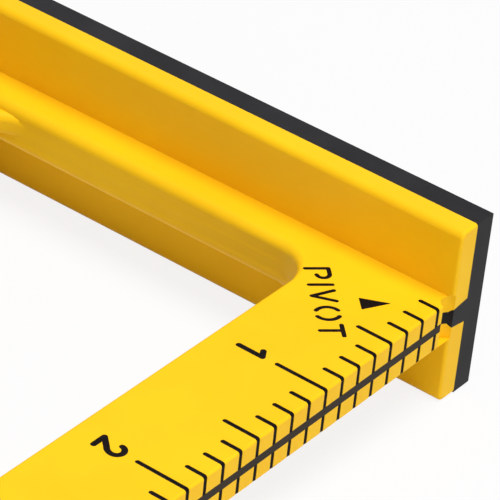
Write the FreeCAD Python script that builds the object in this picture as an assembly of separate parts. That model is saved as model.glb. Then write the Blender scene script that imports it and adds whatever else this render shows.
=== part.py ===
import FreeCAD, Part
import math
import os

# Rafter square for seven inches, in millimetres.
# The fence lies along +X and the ruler leg along +Y, both from the pivot corner.
# The origin is the pivot point on the fence's guide face, in the blade's middle plane.

V = FreeCAD.Vector

# Scale
inch = 25.4
scale_inches = 7
ticks_per_inch = 8

# Blade
blade_thickness = 6.25
blade_overrun = 6.2
tip_width = 6.0
tip_radius = 1.5
edge_round = 0.35
ruler_leg_width = 16.4
fence_strip_width = 5.2
hypotenuse_bar_width = 27.0

# Fence
fence_height = 24.7
flange_thickness = 3.1
flange_round = 0.95
flange_end_round = 0.4
backing_thickness = 3.35
backing_round = 0.15

# Rib of the backing that keys into the back of the flange
rib_root_height = 3.4
rib_tip_height = 2.6
rib_reach = 2.7

# Window in the blade
window_corner = 6.0
strip_edge_round = 1.35
leg_edge_round = 0.5

# Witness lines of the mould: the window's wall steps out a little below each level
witness_levels = (0.4, -1.5)
witness_height = 0.4
witness_step = 0.06

# Scribing bar across the window, keyed into the frame round it
bar_start = 69.5
bar_width = 12.0
bar_recess = 1.22
bar_thickness = 3.0
bar_corner = 8.0
bar_round = 1.0
bar_tip_corner = 0.5
bar_key = 1.6
scribe_notch_radius = 1.2
scribe_notch_step = inch/4
scribe_first = inch/2

# Pivot notch, a half-round pocket beside the rib's tip, and the neck of the backing in its wall
notch_far_rim = 2.17
notch_depth = 1.03
notch_floor = 0.22
notch_overcut = 0.25
neck_height = 1.7
neck_shoulder = 0.3
neck_reach = 2.5
neck_end = 2.0

# Stripe let into the ruler edge
stripe_height = 1.2
stripe_depth = 0.8

# Marks: grooves filled with paint to just under the surface
mark_width = 0.62
mark_depth = 0.3
paint_recess = 0.04
mark_end_flat = 0.02
eighth_length = 2.9
half_length = 5.1
inch_length = 7.4

# Numerals and letters; the digits' aspect and gap are shares of their height
inch_digit_height = 4.2
inch_digit_gap = 1.4
inch_digit_stroke = 0.78
degree_digit_height = 2.9
small_digit_height = 2.1
small_stroke = 0.4
letter_height = 2.8
letter_stroke = 0.58
digit_aspect = 0.58
digit_gap = 0.05

# Degree scale along the hypotenuse
degree_short = 2.6
degree_middle = 3.8
degree_long = 5.4
degree_mark_width = 0.4
degree_digit_gap = 0.9
first_degree = 2
last_degree = 88
middle_degree_step = 5
numbered_degree_step = 10

# Rafter scales, rise per twelve for common rafters and per seventeen for hips and valleys
common_run = 12
hip_run = 17
last_rise = 30
rafter_labels = (1, 2, 3, 4, 5, 6, 7, 8, 9, 10, 11, 12, 14, 16, 18, 21, 24, 30)
rafter_tick = 2.6
common_row = 11.4
hip_row = 18.9

# Label and pointer at the pivot
label_distance = 17.02
label_pitches = (0.0, 3.39, 5.68, 9.25, 12.7)
pointer_tip = (4.76, 6.08)
pointer_length = 3.8
pointer_width = 2.45
pointer_round = 0.08

# Sizes that follow
scale_length = inch*scale_inches
leg_length = scale_length + blade_overrun
hypotenuse_sum = leg_length + tip_width
bar_sum = hypotenuse_sum - hypotenuse_bar_width*math.sqrt(2)
half_blade = blade_thickness/2
half_fence = fence_height/2
rib_tip = rib_reach - flange_thickness
bar_top = half_blade - bar_recess
tick_step = inch/ticks_per_inch

# How far a cutter runs past a face, the radius left on a corner drawn as sharp,
# and the distance under which two places count as one
overshoot = 1.0
sharp_corner = 0.05
same_place = 0.0001


def box(x0, x1, y0, y1, z0, z1):
    return Part.makeBox(x1 - x0, y1 - y0, z1 - z0, V(x0, y0, z0))


def prism(face_points, direction, length):
    wire = Part.makePolygon(face_points + face_points[:1])
    return Part.Face(wire).extrude(direction*length)


def at_height(shape, height):
    return shape.translated(V(0, 0, height))


def rounded_outline(points, radii, inset=0.0):
    """Lines and arcs round a counter-clockwise polygon, moved inwards by inset."""
    count = len(points)
    moved = []
    for i in range(count):
        before, here, after = points[i - 1], points[i], points[(i + 1) % count]
        a = (here - before).normalize()
        b = (after - here).normalize()
        na = V(-a.y, a.x, 0)
        nb = V(-b.y, b.x, 0)
        moved.append(here + (na + nb)*(inset/(1 + na.dot(nb))))
    pieces = []
    starts = []
    ends = []
    for i in range(count):
        before, here, after = moved[i - 1], moved[i], moved[(i + 1) % count]
        a = (before - here).normalize()
        b = (after - here).normalize()
        half_angle = a.getAngle(b)/2
        radius = max(radii[i] - inset, sharp_corner)
        run = radius/math.tan(half_angle)
        centre = here + (a + b).normalize()*(radius/math.sin(half_angle))
        middle = centre + (here - centre).normalize()*radius
        starts.append(here + a*run)
        ends.append(here + b*run)
        pieces.append(("arc", here + a*run, middle, here + b*run))
    outline = []
    for i in range(count):
        outline.append(pieces[i])
        outline.append(("line", ends[i], starts[(i + 1) % count]))
    return outline


def outline_wire(outline):
    edges = []
    for piece in outline:
        if piece[0] == "line":
            edges.append(Part.LineSegment(piece[1], piece[2]).toShape())
        else:
            edges.append(Part.Arc(piece[1], piece[2], piece[3]).toShape())
    return Part.Wire(edges)


def plate(outline, z0, z1):
    return at_height(Part.Face(outline_wire(outline)), z0).extrude(V(0, 0, z1 - z0))


def tapered_plate(low_outline, high_outline, z0, z1):
    wires = [at_height(outline_wire(low_outline), z0), at_height(outline_wire(high_outline), z1)]
    return Part.makeLoft(wires, True, True)


def edges_at(shape, test):
    return [e for e in shape.Edges if all(test(v.Point) for v in e.Vertexes)]


def near(a, b):
    return abs(a - b) < same_place


def blade_outline():
    points = [V(0, -flange_thickness/2, 0), V(leg_length, -flange_thickness/2, 0),
              V(leg_length, tip_width, 0), V(tip_width, leg_length, 0), V(0, leg_length, 0)]
    return rounded_outline(points, [sharp_corner, sharp_corner, tip_radius, tip_radius, tip_radius])


def window_points():
    return [V(ruler_leg_width, fence_strip_width, 0),
            V(bar_sum - fence_strip_width, fence_strip_width, 0),
            V(ruler_leg_width, bar_sum - ruler_leg_width, 0)]


def window_plug():
    """The window's opening, a little narrower below each witness line than above it."""
    points = window_points()
    radii = [window_corner]*len(points)
    outline = rounded_outline(points, radii)
    top = half_blade + overshoot
    slices = []
    for i, level in enumerate(witness_levels):
        low = level - witness_height/2
        high = level + witness_height/2
        narrower = rounded_outline(points, radii, (i + 1)*witness_step)
        slices.append(plate(outline, high, top))
        slices.append(tapered_plate(narrower, outline, low, high))
        outline = narrower
        top = low
    slices.append(plate(outline, -half_blade - overshoot, top))
    return slices[0].fuse(slices[1:]).removeSplitter()


def on_window_rim(point):
    inside_legs = point.x > ruler_leg_width - overshoot and point.y > fence_strip_width - overshoot
    return near(abs(point.z), half_blade) and inside_legs and point.x + point.y < bar_sum + overshoot


def rim_radius(point):
    """The rim is rounded widely along the fence and narrowly along the two other sides."""
    if point.y < fence_strip_width + window_corner/2:
        return strip_edge_round
    return leg_edge_round


def rounded_rims(solid):
    """Rounds the window's two rims, passing in each corner from the radius before it to the next."""
    document = FreeCAD.newDocument("rims")
    base = document.addObject("Part::Feature", "base")
    base.Shape = solid
    fillet = document.addObject("Part::Fillet", "fillet")
    fillet.Base = base
    rows = []
    for number, edge in enumerate(base.Shape.Edges, 1):
        first = edge.valueAt(edge.FirstParameter)
        last = edge.valueAt(edge.LastParameter)
        if on_window_rim(first) and on_window_rim(last):
            rows.append((number, rim_radius(first), rim_radius(last)))
    fillet.Edges = rows
    document.recompute()
    rounded = fillet.Shape.copy()
    FreeCAD.closeDocument(document.Name)
    return rounded


def blade():
    plain = plate(blade_outline(), -half_blade, half_blade)
    rims = edges_at(plain, lambda p: near(abs(p.z), half_blade))
    flat_rims = [e for e in rims if near(e.BoundBox.ZLength, 0)]
    return rounded_rims(plain.makeFillet(edge_round, flat_rims).cut(window_plug()))


def scribing_bar():
    """Thin bar across the window, set below the blade's face, with notches for a pencil."""
    z1 = bar_top
    z0 = bar_top - bar_thickness
    x0 = bar_start
    x1 = bar_start + bar_width
    low = fence_strip_width - bar_key
    reach = bar_sum + bar_key
    slab = prism([V(x0 - bar_corner*2, low, z0), V(x1 + bar_corner*2, low, z0),
                  V(x1 + bar_corner*2, reach - x1 - bar_corner*2, z0),
                  V(x0 - bar_corner*2, reach - x0 + bar_corner*2, z0)], V(0, 0, 1), z1 - z0)
    left = [V(0, fence_strip_width, 0), V(x0, fence_strip_width, 0),
            V(x0, bar_sum - x0, 0), V(0, bar_sum, 0)]
    right = [V(x1, fence_strip_width, 0), V(bar_sum - fence_strip_width, fence_strip_width, 0),
             V(x1, bar_sum - x1, 0)]
    left_radii = [sharp_corner, bar_corner, bar_corner, sharp_corner]
    right_radii = [bar_corner, bar_tip_corner, bar_tip_corner]
    for points, radii in ((left, left_radii), (right, right_radii)):
        slab = slab.cut(plate(rounded_outline(points, radii), z0 - overshoot, z1 + overshoot))
    rims = edges_at(slab, lambda p: p.y > low + bar_key/2 and p.x + p.y < reach - bar_key/2)
    slab = slab.makeFillet(bar_round, [e for e in rims if near(e.BoundBox.ZLength, 0)])
    y = scribe_first
    while y < bar_sum - x1 - bar_corner:
        slab = slab.cut(Part.makeCylinder(scribe_notch_radius, bar_thickness, V(x1, y, z0)))
        y += scribe_notch_step
    return slab


def flange_half():
    """Upper half of the flange, rounded along its inner rim and round its ends."""
    solid = box(0, leg_length, -flange_thickness, 0, 0, half_fence)
    rim = edges_at(solid, lambda p: near(p.y, 0) and near(p.z, half_fence))
    solid = solid.makeFillet(flange_round, rim)
    ends = edges_at(solid, lambda p: near(p.y, 0))
    upright = [e for e in ends if near(e.BoundBox.XLength, 0)]
    return solid.makeFillet(flange_end_round, upright)


def rib():
    """Tapered rib on the back of the fence, from the backing's face into the flange."""
    root = -flange_thickness
    section = [V(0, root, -rib_root_height/2), V(0, rib_tip, -rib_tip_height/2),
               V(0, rib_tip, rib_tip_height/2), V(0, root, rib_root_height/2)]
    return prism(section, V(1, 0, 0), leg_length)


def neck():
    """Block on the rib's tip whose end the pivot notch lays bare."""
    shoulder = rib_tip + neck_shoulder
    upper = [V(0, neck_end, neck_height/2), V(0, shoulder, neck_height/2), V(0, rib_tip, rib_tip_height/2)]
    lower = [V(0, p.y, -p.z) for p in reversed(upper)]
    return prism(upper + lower, V(1, 0, 0), neck_reach)


def backing():
    back = -flange_thickness - backing_thickness
    strip = box(0, leg_length, back, -flange_thickness, -half_fence, half_fence)
    rims = edges_at(strip, lambda p: near(p.y, back))
    bare_neck = neck().cut(pivot_notch())
    return strip.makeFillet(backing_round, rims).fuse([rib(), bare_neck]).removeSplitter()


def pivot_notch():
    """Part of a round bore, from the rib's tip to the far rim, on a thin floor."""
    half_width = (notch_far_rim - rib_tip)/2
    radius = (half_width**2 + notch_depth**2)/(2*notch_depth)
    floor = notch_floor - half_blade
    centre = V(notch_depth - radius, rib_tip + half_width, floor)
    return Part.makeCylinder(radius, half_blade + notch_overcut - floor, centre)


def stripe(outer=0.0):
    """Stripe along the ruler edge, from the neck in the pivot notch to the last mark."""
    y1 = scale_length + mark_width/2
    return box(outer, stripe_depth, neck_end, y1, -stripe_height/2, stripe_height/2).cut(pivot_notch())


def ruler_mark(length, groove):
    """One mark that runs over the upper face, round the edge and down to the stripe."""
    low = stripe_height/2
    floor = half_blade - mark_depth
    start = V(length, 0, floor)
    inner = [start, V(mark_depth, 0, floor), V(mark_depth, 0, low)]
    if groove:
        points = inner + [V(-overshoot, 0, low), V(-overshoot, 0, half_blade + overshoot),
                          V(length, 0, half_blade + overshoot), start]
        wire = Part.makePolygon(points)
    else:
        top = half_blade - paint_recess
        bend = edge_round - paint_recess
        slant = edge_round - bend*math.sqrt(0.5)
        side = V(paint_recess, 0, half_blade - edge_round)
        arc = Part.Arc(side, V(slant, 0, half_blade - slant), V(edge_round, 0, top)).toShape()
        before = inner + [V(paint_recess, 0, low), side]
        after = [V(edge_round, 0, top), V(length, 0, top), start]
        wire = Part.Wire([Part.makePolygon(before), arc, Part.makePolygon(after)])
    solid = Part.Face(wire).extrude(V(0, mark_width, 0)).translated(V(0, -mark_width/2, 0))
    ends = edges_at(solid, lambda p: near(p.x, length))
    upright = [e for e in ends if e.BoundBox.ZLength > mark_depth/2]
    return solid.makeFillet((mark_width - mark_end_flat)/2, upright)


def ruler_marks(groove):
    kinds = {length: ruler_mark(length, groove) for length in (eighth_length, half_length, inch_length)}
    marks = []
    for i in range(1, scale_inches*ticks_per_inch + 1):
        length = eighth_length
        if i % (ticks_per_inch//2) == 0:
            length = half_length
        if i % ticks_per_inch == 0:
            length = inch_length
        marks.append(kinds[length].translated(V(0, i*tick_step, 0)))
    return marks


# Strokes of the numerals and letters on a unit height: points, and arcs as (through, to)
glyphs = {
    "0": [[(-0.07, 1), ((-0.25, 0.91), (-0.29, 0.72)), (-0.29, 0.28), ((-0.25, 0.09), (-0.07, 0))],
          [(0.07, 1), ((0.25, 0.91), (0.29, 0.72)), (0.29, 0.28), ((0.25, 0.09), (0.07, 0))]],
    "1": [[(-0.27, 0.82), (0.03, 1), (0.03, 0)]],
    "2": [[(-0.27, 0.76), ((0.02, 1), (0.27, 0.72)), ((0.21, 0.52), (0.1, 0.4)), (-0.28, 0), (0.28, 0)]],
    "3": [[(-0.25, 0.86), ((0.02, 1), (0.24, 0.77)), ((0.16, 0.59), (-0.04, 0.55))],
          [(0.03, 0.42), ((0.22, 0.36), (0.28, 0.22)), ((0.0, 0), (-0.27, 0.16))]],
    "4": [[(0.06, 1), (-0.28, 0.3), (0.0, 0.3)], [(0.17, 0.62), (0.17, 0)]],
    "5": [[(0.25, 1), (-0.2, 1), (-0.22, 0.56),
           ((0.05, 0.62), (0.27, 0.32)), ((0.03, 0), (-0.27, 0.12))]],
    "6": [[(0.2, 0.97), ((-0.12, 0.82), (-0.28, 0.32)), ((0.0, 0), (0.28, 0.3)), ((0.2, 0.5), (0.03, 0.57))]],
    "7": [[(-0.27, 1), (0.28, 1), (-0.08, 0)]],
    "8": [[(-0.06, 1), ((-0.25, 0.78), (-0.1, 0.56)), ((-0.29, 0.28), (-0.06, 0))],
          [(0.06, 1), ((0.25, 0.78), (0.1, 0.56)), ((0.29, 0.28), (0.06, 0))]],
    "9": [[(-0.2, 0.03), ((0.12, 0.18), (0.28, 0.68)),
           ((0.0, 1), (-0.28, 0.7)), ((-0.2, 0.5), (-0.03, 0.43))]],
    "P": [[(0, 0), (0, 1), (0.45, 1), ((0.71, 0.71), (0.47, 0.43))]],
    "I": [[(0, 0), (0, 1)]],
    "V": [[(-0.385, 1), (0, 0), (0.385, 1)]],
    "O": [[(-0.22, 0.97), ((-0.46, 0.5), (-0.22, 0.03))], [(0.22, 0.97), ((0.46, 0.5), (0.22, 0.03))]],
    "T": [[(-0.39, 0.96), (0.39, 0.96)], [(0, 0.96), (0, 0)]],
}


def bar_face(start, end, width):
    """Straight stroke with round ends."""
    along = (end - start).normalize()
    side = V(-along.y, along.x, 0)*(width/2)
    cap = along*(width/2)
    edges = [Part.LineSegment(start + side, end + side).toShape(),
             Part.Arc(end + side, end + cap, end - side).toShape(),
             Part.LineSegment(end - side, start - side).toShape(),
             Part.Arc(start - side, start - cap, start + side).toShape()]
    return Part.Face(Part.Wire(edges))


def stroke_face(path, height, width):
    if len(path) == 2 and not isinstance(path[1][0], tuple):
        return bar_face(V(*path[0], 0)*height, V(*path[1], 0)*height, width)
    edges = []
    last = V(*path[0], 0)*height
    for item in path[1:]:
        if isinstance(item[0], tuple):
            through = V(*item[0], 0)*height
            to = V(*item[1], 0)*height
            edges.append(Part.Arc(last, through, to).toShape())
        else:
            to = V(*item, 0)*height
            edges.append(Part.LineSegment(last, to).toShape())
        last = to
    return Part.Face(Part.Wire(edges).makeOffset2D(width/2, 0, False, False, False))


def glyph_faces(character, height, width):
    """Faces of one digit or letter that stands on y = 0, with strokes that meet made one."""
    strokes = [stroke_face(path, height, width) for path in glyphs[character]]
    if len(strokes) > 1:
        strokes = strokes[0].fuse(strokes[1:]).removeSplitter().Faces
    return strokes


def number_faces(number, height, width):
    """Faces of a number, centred on x = 0 and standing on y = 0."""
    digits = str(number)
    pitch = height*(digit_aspect + digit_gap) + width
    faces = []
    for i, digit in enumerate(digits):
        shift = V((i - (len(digits) - 1)/2)*pitch, 0, 0)
        faces += [face.translated(shift) for face in glyph_faces(digit, height, width)]
    return faces


def placed(faces, position, up, under=False):
    """Turns faces so that their +Y points along up, and moves them there.
    Faces for the underside are reversed first, so that they read from below."""
    turn = math.degrees(math.atan2(up.y, up.x)) - 90
    result = []
    for face in faces:
        if under:
            face = face.mirror(V(0, 0, 0), V(1, 0, 0))
        face = face.copy()
        face.rotate(V(0, 0, 0), V(0, 0, 1), turn)
        face.translate(position)
        result.append(face)
    return result


def ray(angle):
    return V(math.cos(angle), math.sin(angle), 0)


def row_distance(angle, row):
    """Distance from the pivot, at an angle, to the line that lies row inside the hypotenuse."""
    return (hypotenuse_sum - row*math.sqrt(2))/(math.cos(angle) + math.sin(angle))


def degree_marks():
    faces = []
    for degree in range(first_degree, last_degree + 1):
        length = degree_short
        if degree % middle_degree_step == 0:
            length = degree_middle
        if degree % numbered_degree_step == 0:
            length = degree_long
        angle = math.radians(degree)
        end = row_distance(angle, edge_round + degree_mark_width)
        faces.append(bar_face(ray(angle)*end, ray(angle)*(end - length), degree_mark_width))
    return faces


def degree_numerals(under=False):
    faces = []
    for degree in range(numbered_degree_step, last_degree, numbered_degree_step):
        angle = math.radians(degree)
        foot = row_distance(angle, edge_round) - degree_long - degree_digit_gap - degree_digit_height
        digits = number_faces(degree, degree_digit_height, small_stroke)
        faces += placed(digits, ray(angle)*foot, ray(angle), under)
    return faces


def inch_numerals(under=False):
    """Numerals of the whole inches, but for the last, whose place the narrow tip doesn't hold."""
    foot = inch_length + inch_digit_gap + inch_digit_height - inch_digit_stroke/2
    faces = []
    for number in range(1, scale_inches):
        digits = number_faces(number, inch_digit_height - inch_digit_stroke, inch_digit_stroke)
        faces += placed(digits, V(foot, number*inch, 0), V(-1, 0, 0), under)
    return faces


def rafter_scale(run, row):
    marks = []
    numerals = []
    for rise in range(1, last_rise + 1):
        angle = math.atan2(rise, run)
        end = row_distance(angle, row)
        marks.append(bar_face(ray(angle)*end, ray(angle)*(end - rafter_tick), degree_mark_width))
        if rise in rafter_labels:
            digits = number_faces(rise, small_digit_height, small_stroke)
            foot = end - rafter_tick - degree_digit_gap - small_digit_height
            numerals += placed(digits, ray(angle)*foot, ray(angle))
    return marks, numerals


def pivot_label():
    """The word for the pivot, across the corner, with the tops of its letters towards the pivot."""
    faces = []
    up = V(-1, -1, 0).normalize()
    along = V(-1, 1, 0).normalize()
    middle = (label_pitches[0] + label_pitches[-1])/2
    for letter, pitch in zip("PIVOT", label_pitches):
        position = up*(-label_distance) + along*(pitch - middle)
        faces += placed(glyph_faces(letter, letter_height, letter_stroke), position, up)
    return faces


def pivot_pointer():
    tip = V(*pointer_tip, 0)
    back = tip + V(1, 1, 0).normalize()*pointer_length
    side = V(-1, 1, 0).normalize()*(pointer_width/2)
    outline = rounded_outline([tip, back - side, back + side], [pointer_round]*3)
    return [Part.Face(outline_wire(outline))]


def filled(faces, side=1):
    """Paint solids and groove cutters of flat marks on the upper face, or with side -1 the underside."""
    floors = [at_height(f, half_blade - mark_depth) for f in faces]
    paint = [f.extrude(V(0, 0, mark_depth - paint_recess)) for f in floors]
    grooves = [f.extrude(V(0, 0, mark_depth + overshoot)) for f in floors]
    return turned_over(paint, side), turned_over(grooves, side)


def turned_over(solids, side):
    if side > 0:
        return solids
    return [s.mirror(V(0, 0, 0), V(0, 0, 1)) for s in solids]


def all_marks():
    """Each node of paint with the cutters of its grooves."""
    common_marks, common_numerals = rafter_scale(common_run, common_row)
    hip_marks, hip_numerals = rafter_scale(hip_run, hip_row)
    return {
        "inch_marks_upper": (ruler_marks(False), ruler_marks(True)),
        "inch_marks_under": (turned_over(ruler_marks(False), -1), turned_over(ruler_marks(True), -1)),
        "inch_numerals_upper": filled(inch_numerals()),
        "inch_numerals_under": filled(inch_numerals(True), -1),
        "degree_marks_upper": filled(degree_marks()),
        "degree_marks_under": filled(degree_marks(), -1),
        "degree_numerals_upper": filled(degree_numerals()),
        "degree_numerals_under": filled(degree_numerals(True), -1),
        "common_rafter_marks": filled(common_marks),
        "common_rafter_numerals": filled(common_numerals),
        "hip_rafter_marks": filled(hip_marks),
        "hip_rafter_numerals": filled(hip_numerals),
        "pivot_label": filled(pivot_label()),
        "pivot_pointer": filled(pivot_pointer()),
    }


def body(marks):
    """The yellow moulding: blade, scribing bar and flange in one piece."""
    upper = flange_half()
    solid = blade().fuse([scribing_bar(), upper, upper.mirror(V(0, 0, 0), V(0, 0, 1))]).removeSplitter()
    cutters = [rib(), neck(), pivot_notch(), stripe(-overshoot)]
    for _, grooves in marks.values():
        cutters += grooves
    return solid.cut(cutters)


def write(name, shape):
    shape.exportStep(os.path.join("parts", name + ".step"))


def main():
    os.makedirs("parts", exist_ok=True)
    marks = all_marks()
    write("square_body", body(marks))
    write("fence_backing", backing())
    write("edge_stripe", stripe())
    for name, (paint, _) in marks.items():
        write(name, Part.Compound(paint))


main()
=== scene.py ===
import math

import bpy
from bpy.props import FloatProperty, FloatVectorProperty, PointerProperty
from mathutils import Matrix, Vector


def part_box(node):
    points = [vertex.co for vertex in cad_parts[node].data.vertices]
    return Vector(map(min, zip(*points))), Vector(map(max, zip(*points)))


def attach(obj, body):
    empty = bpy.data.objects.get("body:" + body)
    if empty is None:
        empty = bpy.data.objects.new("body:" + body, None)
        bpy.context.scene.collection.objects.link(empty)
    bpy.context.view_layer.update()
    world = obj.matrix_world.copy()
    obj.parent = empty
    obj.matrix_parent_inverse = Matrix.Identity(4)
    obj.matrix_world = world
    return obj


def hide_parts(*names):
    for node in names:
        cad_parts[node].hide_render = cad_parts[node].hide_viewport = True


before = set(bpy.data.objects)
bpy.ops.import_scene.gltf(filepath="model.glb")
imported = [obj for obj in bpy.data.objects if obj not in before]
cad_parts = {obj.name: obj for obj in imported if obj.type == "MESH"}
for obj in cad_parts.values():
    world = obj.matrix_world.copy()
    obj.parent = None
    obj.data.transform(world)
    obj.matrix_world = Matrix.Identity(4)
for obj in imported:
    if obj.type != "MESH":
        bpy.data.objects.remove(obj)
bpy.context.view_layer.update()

bl_info = {
    "name": "Rafter square",
    "version": (1, 0, 0),
    "blender": (4, 5, 0),
    "location": "View3D > Sidebar > Rafter square",
    "description": "Dresses a seven inch moulded rafter square and lights it on a pale floor",
    "category": "Object",
}

MM = 0.001
BODY = "root"

# Witness lines of the mould, small steps round the window's wall: their levels and their height
WITNESS_LEVELS = (0.4*MM, -1.5*MM)
WITNESS_HEIGHT = 0.4*MM

# Corners closer than this are one corner, and edges closer to a level than this lie on it
MERGE_DISTANCE = 0.0005*MM
LEVEL_TOLERANCE = 0.002*MM

# Edges that turn less than this are shaded smooth, on the moulded pieces and on the small fills
PIECE_ANGLE = math.radians(32)
FILL_ANGLE = math.radians(40)

# Nodes of dark paint, each a group of fills in moulded grooves
MARKS_OF_BOTH_FACES = ("inch_marks", "inch_numerals", "degree_marks", "degree_numerals")
MARKS_OF_UPPER_FACE = ("common_rafter_marks", "common_rafter_numerals",
                       "hip_rafter_marks", "hip_rafter_numerals",
                       "pivot_label", "pivot_pointer")


class RafterSquareMoulding(bpy.types.PropertyGroup):
    """Colour and finish of the yellow moulding."""

    # Sizes of the two noises that carry the colour from one yellow to the other, the share of the
    # first, the part of their sum over which the change lies, and what noise adds to the roughness
    flow_size = 22*MM
    cloud_size = 5*MM
    flow_share = 0.65
    tone_low = 0.36
    tone_high = 0.64
    roughness_drift = 0.05

    colour: FloatVectorProperty(
        name="Yellow", description="Colour of the moulded plastic",
        subtype="COLOR", size=3, min=0, max=1, default=(0.95, 0.560, 0.008))
    deep_colour: FloatVectorProperty(
        name="Deep yellow", description="Colour where the plastic has flowed thicker",
        subtype="COLOR", size=3, min=0, max=1, default=(0.93, 0.525, 0.007))
    grain_size: FloatProperty(
        name="Grain", description="Size of the satin grain left by the mould",
        unit="LENGTH", default=0.22*MM)
    grain_height: FloatProperty(
        name="Grain height", description="Height of the satin grain",
        unit="LENGTH", default=0.003*MM)
    roughness: FloatProperty(
        name="Roughness", description="Roughness of the plastic where its grain is smoothest",
        min=0, max=1, default=0.42)
    gloss: FloatProperty(
        name="Gloss", description="Strength of the plastic's reflections",
        min=0, max=1, default=0.12)


class RafterSquareBacking(bpy.types.PropertyGroup):
    """Colour and finish of the black strip on the fence, and colour of the stripe on the ruler edge."""

    # As for the moulding, with the grain as the second noise, and from the colour to a lighter one
    cloud_size = 7*MM
    cloud_share = 0.6
    tone_low = 0.34
    tone_high = 0.72
    lightest = 2.0
    roughness_drift = 0.10

    colour: FloatVectorProperty(
        name="Black", description="Colour of the backing strip",
        subtype="COLOR", size=3, min=0, max=1, default=(0.0075, 0.0068, 0.008))
    stripe_colour: FloatVectorProperty(
        name="Stripe", description="Colour of the stripe on the ruler edge",
        subtype="COLOR", size=3, min=0, max=1, default=(0.014, 0.008, 0.003))
    grain_size: FloatProperty(
        name="Grain", description="Size of the matt grain",
        unit="LENGTH", default=0.35*MM)
    grain_height: FloatProperty(
        name="Grain height", description="Height of the matt grain",
        unit="LENGTH", default=0.006*MM)
    roughness: FloatProperty(
        name="Roughness", description="Roughness of the strip where its grain is smoothest",
        min=0, max=1, default=0.41)
    gloss: FloatProperty(
        name="Gloss", description="Strength of the strip's reflections",
        min=0, max=1, default=0.10)


class RafterSquarePaint(bpy.types.PropertyGroup):
    """Colour of the paint in the marks."""

    # As for the strip, with one noise, which is also a slight relief
    cloud_size = 0.9*MM
    cloud_height = 0.008*MM
    tone_low = 0.45
    tone_high = 0.75
    lightest = 2.4
    roughness_drift = 0.22

    colour: FloatVectorProperty(
        name="Paint", description="Colour of the paint in the grooves",
        subtype="COLOR", size=3, min=0, max=1, default=(0.006, 0.004, 0.004))
    roughness: FloatProperty(
        name="Roughness", description="Roughness of the paint where it is smoothest",
        min=0, max=1, default=0.38)
    gloss: FloatProperty(
        name="Gloss", description="Strength of the paint's reflections",
        min=0, max=1, default=0.03)


class RafterSquareStage(bpy.types.PropertyGroup):
    """Camera, lamps and floor."""

    # The lamps look at one point. A direction leads from it to the lamp.
    lit_middle = Vector((40*MM, 40*MM, 0))
    key_direction = Vector((-0.24, -0.05, 0.97))
    key_distance = 0.9
    key_size = 0.55
    side_direction = Vector((-0.90, 0.42, 0.09))
    side_distance = 0.35
    side_size = 0.12

    # The floor touches the fence's lower rim, at this share of the flange's thickness behind the
    # guide face, and passes this gap below the paint at the blade's far tip
    rim_share = 0.3
    floor_gap = 0.05*MM
    floor_size = 12.0

    sensor_width = 36.0
    clip_start = 0.01
    clip_end = 100.0

    camera_place: FloatVectorProperty(
        name="Camera", description="Place of the camera",
        subtype="TRANSLATION", size=3, default=(-176.86*MM, 303.12*MM, 243.435*MM))
    camera_target: FloatVectorProperty(
        name="Target", description="Point on the blade's face that the camera looks at",
        subtype="TRANSLATION", size=3, default=(23.601*MM, 9.194*MM, 3.125*MM))
    camera_roll: FloatProperty(
        name="Roll", description="Turn of the camera about its own line of sight",
        subtype="ANGLE", default=math.radians(-6.1096))
    lens: FloatProperty(
        name="Lens", description="Focal length, in millimetres on a 36 mm wide sensor",
        default=257.58)
    key_power: FloatProperty(
        name="Key lamp", description="Power of the large soft lamp above the square",
        subtype="POWER", default=8.25)
    side_power: FloatProperty(
        name="Side lamp", description="Power of the small low lamp beside the pivot corner",
        subtype="POWER", default=0.25)
    sky: FloatProperty(
        name="Sky", description="Brightness of the sky as light on the object",
        min=0, default=0.285)
    floor_grey: FloatProperty(
        name="Floor", description="Grey of the floor as the object's light and shadow show it",
        min=0, max=1, default=0.73)
    floor_glow: FloatProperty(
        name="Floor glow", description="Share of plain white in the floor as it is seen",
        min=0, max=1, default=0.85)


class Value:
    """An output of a node. Python's operators add the Math nodes."""

    def __init__(self, graph, socket):
        self.graph = graph
        self.socket = socket

    def _math(self, operation, *terms):
        return self.graph.node("ShaderNodeMath", {"operation": operation}, dict(enumerate(terms)))

    def __add__(self, other):
        return self._math("ADD", self, other)

    def __radd__(self, other):
        return self._math("ADD", other, self)

    def __mul__(self, other):
        return self._math("MULTIPLY", self, other)

    def __rmul__(self, other):
        return self._math("MULTIPLY", other, self)


class Graph:
    """The node tree of one material or of the world."""

    def __init__(self, tree):
        self.tree = tree
        tree.nodes.clear()

    def node(self, kind, settings=None, inputs=None, output=0):
        """Adds a node, sets it up, and gives back one of its outputs, or the node if it has none."""
        made = self.tree.nodes.new(kind)
        for key, value in (settings or {}).items():
            setattr(made, key, value)
        for key, value in (inputs or {}).items():
            socket = made.inputs[key]
            if isinstance(value, Value):
                self.tree.links.new(value.socket, socket)
            else:
                socket.default_value = value
        return Value(self, made.outputs[output]) if made.outputs else made

    def place(self):
        """Place of a point on the piece."""
        return self.node("ShaderNodeTexCoord", output="Object")

    def noise(self, place, size, detail, rough=0.5):
        """Soft noise from 0 to 1 whose blotches are about size across."""
        return self.node("ShaderNodeTexNoise", None,
                         {"Vector": place, "Scale": 1/size, "Detail": detail, "Roughness": rough})

    def spread(self, value, low, high):
        """Stretches the part of value from low to high over 0 to 1, smoothly."""
        return self.node("ShaderNodeMapRange", {"interpolation_type": "SMOOTHSTEP"},
                         {"Value": value, "From Min": low, "From Max": high})

    def blend(self, factor, first, second):
        """Mixes two colours, through the Mix node's sockets for colour."""
        return self.node("ShaderNodeMix", {"data_type": "RGBA"},
                         {0: factor, 6: first, 7: second}, output=2)

    def bump(self, height, distance):
        """Normal of a fine relief, distance deep, where height goes from 0 to 1."""
        return self.node("ShaderNodeBump", None, {"Height": height, "Distance": distance})


def opaque(colour):
    return (colour[0], colour[1], colour[2], 1.0)


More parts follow.
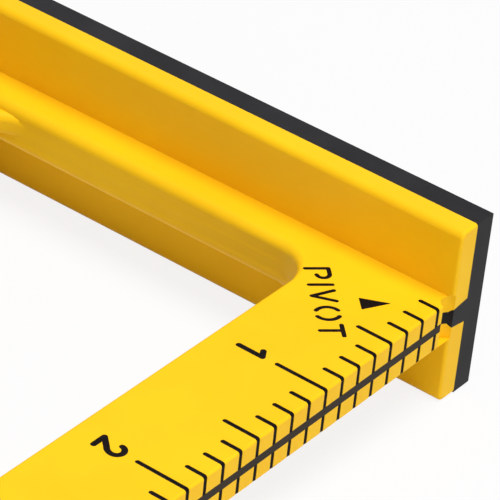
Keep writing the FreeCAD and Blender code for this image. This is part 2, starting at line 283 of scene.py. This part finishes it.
def plastic(name, make):
    """A new material, whose Principled sockets come from make(graph)."""
    material = bpy.data.materials.new(name)
    material.use_nodes = True
    graph = Graph(material.node_tree)
    shader = graph.node("ShaderNodeBsdfPrincipled", None, make(graph))
    graph.node("ShaderNodeOutputMaterial", None, {"Surface": shader})
    return material


def yellow_plastic(moulding):
    def make(graph):
        place = graph.place()
        flow = graph.noise(place, moulding.flow_size, detail=1.5)
        cloud = graph.noise(place, moulding.cloud_size, detail=3.0)
        grain = graph.noise(place, moulding.grain_size, detail=2.5, rough=0.6)
        mixed = moulding.flow_share*flow + (1 - moulding.flow_share)*cloud
        tone = graph.spread(mixed, moulding.tone_low, moulding.tone_high)
        return {
            "Base Color": graph.blend(tone, opaque(moulding.colour), opaque(moulding.deep_colour)),
            "Roughness": moulding.roughness + moulding.roughness_drift*(cloud + grain),
            "Specular IOR Level": moulding.gloss,
            "Normal": graph.bump(grain, moulding.grain_height),
        }
    return plastic("moulded_yellow_plastic", make)


def black_plastic(name, backing, colour):
    def make(graph):
        place = graph.place()
        cloud = graph.noise(place, backing.cloud_size, detail=3.0)
        grain = graph.noise(place, backing.grain_size, detail=3.0, rough=0.6)
        lighter = [backing.lightest*c for c in colour]
        mixed = backing.cloud_share*cloud + (1 - backing.cloud_share)*grain
        tone = graph.spread(mixed, backing.tone_low, backing.tone_high)
        return {
            "Base Color": graph.blend(tone, opaque(colour), opaque(lighter)),
            "Roughness": backing.roughness + backing.roughness_drift*grain,
            "Specular IOR Level": backing.gloss,
            "Normal": graph.bump(grain, backing.grain_height),
        }
    return plastic(name, make)


def mark_paint(paint):
    def make(graph):
        place = graph.place()
        cloud = graph.noise(place, paint.cloud_size, detail=3.0)
        worn = [paint.lightest*c for c in paint.colour]
        tone = graph.spread(cloud, paint.tone_low, paint.tone_high)
        return {
            "Base Color": graph.blend(tone, opaque(paint.colour), opaque(worn)),
            "Roughness": paint.roughness + paint.roughness_drift*cloud,
            "Specular IOR Level": paint.gloss,
            "Normal": graph.bump(cloud, paint.cloud_height),
        }
    return plastic("mark_paint", make)


def deselect_all():
    bpy.ops.object.select_all(action="DESELECT")


def choose(piece):
    """Makes piece the only selected object, and the active one."""
    deselect_all()
    piece.select_set(True)
    bpy.context.view_layer.objects.active = piece


def apply_modifier(piece, kind, settings):
    choose(piece)
    modifier = piece.modifiers.new(kind.lower(), kind)
    for key, value in settings.items():
        setattr(modifier, key, value)
    bpy.ops.object.modifier_apply(modifier=modifier.name)


def merged_copy(node, name):
    """A copy of a CAD node whose loose triangles are merged, with its own mesh."""
    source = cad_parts[node]
    piece = bpy.data.objects.new(name, source.data.copy())
    bpy.context.scene.collection.objects.link(piece)
    choose(piece)
    bpy.ops.mesh.customdata_custom_splitnormals_clear()
    bpy.ops.object.mode_set(mode="EDIT")
    bpy.ops.mesh.select_all(action="SELECT")
    bpy.ops.mesh.remove_doubles(threshold=MERGE_DISTANCE)
    bpy.ops.object.mode_set(mode="OBJECT")
    return piece


def select_edges_on_levels(piece, levels):
    """Selects the edges of the piece that lie along one of the levels."""
    corners = piece.data.vertices
    for edge in piece.data.edges:
        heights = [corners[i].co.z for i in edge.vertices]
        edge.select = any(all(abs(z - level) < LEVEL_TOLERANCE for z in heights) for level in levels)


def smooth(piece, angle, sharp_levels=()):
    """Smooth shading that leaves flat faces flat, and edges on the sharp levels crisp."""
    choose(piece)
    bpy.ops.object.shade_smooth_by_angle(angle=angle)
    if sharp_levels:
        bpy.ops.object.mode_set(mode="EDIT")
        bpy.ops.mesh.select_mode(type="EDGE")
        bpy.ops.mesh.select_all(action="DESELECT")
        bpy.ops.object.mode_set(mode="OBJECT")
        select_edges_on_levels(piece, sharp_levels)
        bpy.ops.object.mode_set(mode="EDIT")
        bpy.ops.mesh.mark_sharp()
        bpy.ops.object.mode_set(mode="OBJECT")
    apply_modifier(piece, "WEIGHTED_NORMAL", {"keep_sharp": True, "weight": 100})


def finish_piece(piece, node, material):
    """Gives the piece its material, and lets it stand for its CAD node."""
    piece.data.materials.clear()
    piece.data.materials.append(material)
    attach(piece, BODY)
    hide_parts(node)


class MakeMoulding(bpy.types.Operator):
    """Makes the yellow moulding: blade, cross-bar and fence in one piece"""

    bl_idname = "rafter_square.moulding"
    bl_label = "Moulding"

    def execute(self, context):
        moulding = context.scene.rafter_square_moulding
        piece = merged_copy("square_body", "moulding")
        steps = [level + side*WITNESS_HEIGHT/2 for level in WITNESS_LEVELS for side in (1, -1)]
        smooth(piece, PIECE_ANGLE, steps)
        finish_piece(piece, "square_body", yellow_plastic(moulding))
        return {"FINISHED"}


class MakeBacking(bpy.types.Operator):
    """Makes the black strip on the outside of the fence"""

    bl_idname = "rafter_square.backing"
    bl_label = "Backing strip"

    def execute(self, context):
        backing = context.scene.rafter_square_backing
        piece = merged_copy("fence_backing", "backing_strip")
        smooth(piece, PIECE_ANGLE)
        material = black_plastic("black_backing_plastic", backing, backing.colour)
        finish_piece(piece, "fence_backing", material)
        return {"FINISHED"}


class MakeEdgeStripe(bpy.types.Operator):
    """Makes the black stripe along the ruler edge"""

    bl_idname = "rafter_square.edge_stripe"
    bl_label = "Edge stripe"

    def execute(self, context):
        backing = context.scene.rafter_square_backing
        piece = merged_copy("edge_stripe", "ruler_edge_stripe")
        smooth(piece, FILL_ANGLE)
        material = black_plastic("black_stripe_plastic", backing, backing.stripe_colour)
        finish_piece(piece, "edge_stripe", material)
        return {"FINISHED"}


class MakeMarks(bpy.types.Operator):
    """Makes the paint in the graduations, numerals, label and pointer"""

    bl_idname = "rafter_square.marks"
    bl_label = "Painted marks"

    def execute(self, context):
        paint = context.scene.rafter_square_paint
        material = mark_paint(paint)
        nodes = [kind + side for kind in MARKS_OF_BOTH_FACES for side in ("_upper", "_under")]
        for node in nodes + list(MARKS_OF_UPPER_FACE):
            piece = merged_copy(node, node + "_paint")
            smooth(piece, FILL_ANGLE)
            finish_piece(piece, node, material)
        return {"FINISHED"}


class MakeStage(bpy.types.Operator):
    """Makes the floor, the lamps, the sky and the camera"""

    bl_idname = "rafter_square.stage"
    bl_label = "Stage"

    def execute(self, context):
        stage = context.scene.rafter_square_stage
        self.make_floor(stage)
        self.make_sky(stage)
        self.make_lamp("soft_key", stage.lit_middle, stage.key_direction, stage.key_distance,
                       stage.key_size, stage.key_power)
        self.make_lamp("low_side", stage.lit_middle, stage.side_direction, stage.side_distance,
                       stage.side_size, stage.side_power)
        self.make_camera(stage)
        return {"FINISHED"}

    def seen(self, graph):
        """1 on rays that show the stage itself, 0 on those that carry its light to the object."""
        rays = [graph.node("ShaderNodeLightPath", output="Is %s Ray" % kind)
                for kind in ("Camera", "Glossy", "Transmission")]
        return graph.node("ShaderNodeMath", {"operation": "ADD", "use_clamp": True},
                          {0: rays[0], 1: rays[1] + rays[2]})

    def make_floor(self, stage):
        """Floor under the fence's inner rim and the blade's far tip, on which the square rests."""
        low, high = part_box("square_body")
        marks_low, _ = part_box("inch_marks_under")
        rim = Vector((0, low.y*stage.rim_share, low.z))
        tip = Vector((0, high.y, marks_low.z - stage.floor_gap))
        slope = math.atan2(tip.z - rim.z, tip.y - rim.y)
        deselect_all()
        bpy.ops.mesh.primitive_plane_add(size=stage.floor_size, location=rim)
        floor = bpy.context.object
        floor.name = "floor"
        floor.rotation_euler = (slope, 0, 0)
        bpy.ops.object.transform_apply(location=True, rotation=True, scale=True)
        material = bpy.data.materials.new("pale_floor")
        material.use_nodes = True
        graph = Graph(material.node_tree)
        matt = graph.node("ShaderNodeBsdfDiffuse", None, {"Color": opaque([stage.floor_grey]*3)})
        glow = graph.node("ShaderNodeEmission", None, {"Color": (1, 1, 1, 1), "Strength": 1.0})
        share = stage.floor_glow*self.seen(graph)
        mixed = graph.node("ShaderNodeMixShader", None, {0: share, 1: matt, 2: glow})
        graph.node("ShaderNodeOutputMaterial", None, {"Surface": mixed})
        floor.data.materials.append(material)

    def make_sky(self, stage):
        world = bpy.data.worlds.new("sky")
        world.use_nodes = True
        bpy.context.scene.world = world
        graph = Graph(world.node_tree)
        strength = stage.sky + (1.0 - stage.sky)*self.seen(graph)
        background = graph.node("ShaderNodeBackground", None, {"Color": (1, 1, 1, 1), "Strength": strength})
        graph.node("ShaderNodeOutputWorld", None, {"Surface": background})

    def make_lamp(self, name, middle, direction, distance, size, power):
        """A round soft lamp that looks at middle from a direction and a distance."""
        deselect_all()
        away = direction.normalized()
        bpy.ops.object.light_add(type="AREA", location=middle + away*distance)
        lamp = bpy.context.object
        lamp.name = name
        lamp.data.shape = "DISK"
        lamp.data.size = size
        lamp.data.energy = power
        lamp.rotation_euler = (-away).to_track_quat("-Z", "Y").to_euler()

    def make_camera(self, stage):
        deselect_all()
        bpy.ops.object.camera_add(location=stage.camera_place)
        camera = bpy.context.object
        camera.name = "photo_camera"
        sight = Vector(stage.camera_target) - Vector(stage.camera_place)
        turn = sight.to_track_quat("-Z", "Y").to_matrix()
        roll = Matrix.Rotation(-stage.camera_roll, 3, "Z")
        camera.rotation_euler = (turn @ roll).to_euler()
        camera.data.lens = stage.lens
        camera.data.sensor_width = stage.sensor_width
        camera.data.clip_start = stage.clip_start
        camera.data.clip_end = stage.clip_end
        bpy.context.scene.camera = camera
        bpy.context.scene.view_settings.view_transform = "Standard"


OPERATORS = (MakeMoulding, MakeBacking, MakeEdgeStripe, MakeMarks, MakeStage)
SETTINGS = {
    "rafter_square_moulding": RafterSquareMoulding,
    "rafter_square_backing": RafterSquareBacking,
    "rafter_square_paint": RafterSquarePaint,
    "rafter_square_stage": RafterSquareStage,
}


class RafterSquarePanel(bpy.types.Panel):
    """Lists the square's pieces and their settings"""

    bl_idname = "VIEW3D_PT_rafter_square"
    bl_label = "Rafter square"
    bl_space_type = "VIEW_3D"
    bl_region_type = "UI"
    bl_category = "Rafter square"

    def draw(self, context):
        for operator in OPERATORS:
            self.layout.operator(operator.bl_idname)
        for name, group in SETTINGS.items():
            column = self.layout.column()
            for key in group.__annotations__:
                column.prop(getattr(context.scene, name), key)


def register():
    for group in SETTINGS.values():
        bpy.utils.register_class(group)
    for name, group in SETTINGS.items():
        setattr(bpy.types.Scene, name, PointerProperty(type=group))
    for cls in OPERATORS + (RafterSquarePanel,):
        bpy.utils.register_class(cls)


def unregister():
    for cls in reversed(OPERATORS + (RafterSquarePanel,)):
        bpy.utils.unregister_class(cls)
    for name, group in SETTINGS.items():
        delattr(bpy.types.Scene, name)
        bpy.utils.unregister_class(group)


def main():
    register()
    bpy.ops.rafter_square.moulding()
    bpy.ops.rafter_square.backing()
    bpy.ops.rafter_square.edge_stripe()
    bpy.ops.rafter_square.marks()
    bpy.ops.rafter_square.stage()


if __name__ == "__main__":
    main()
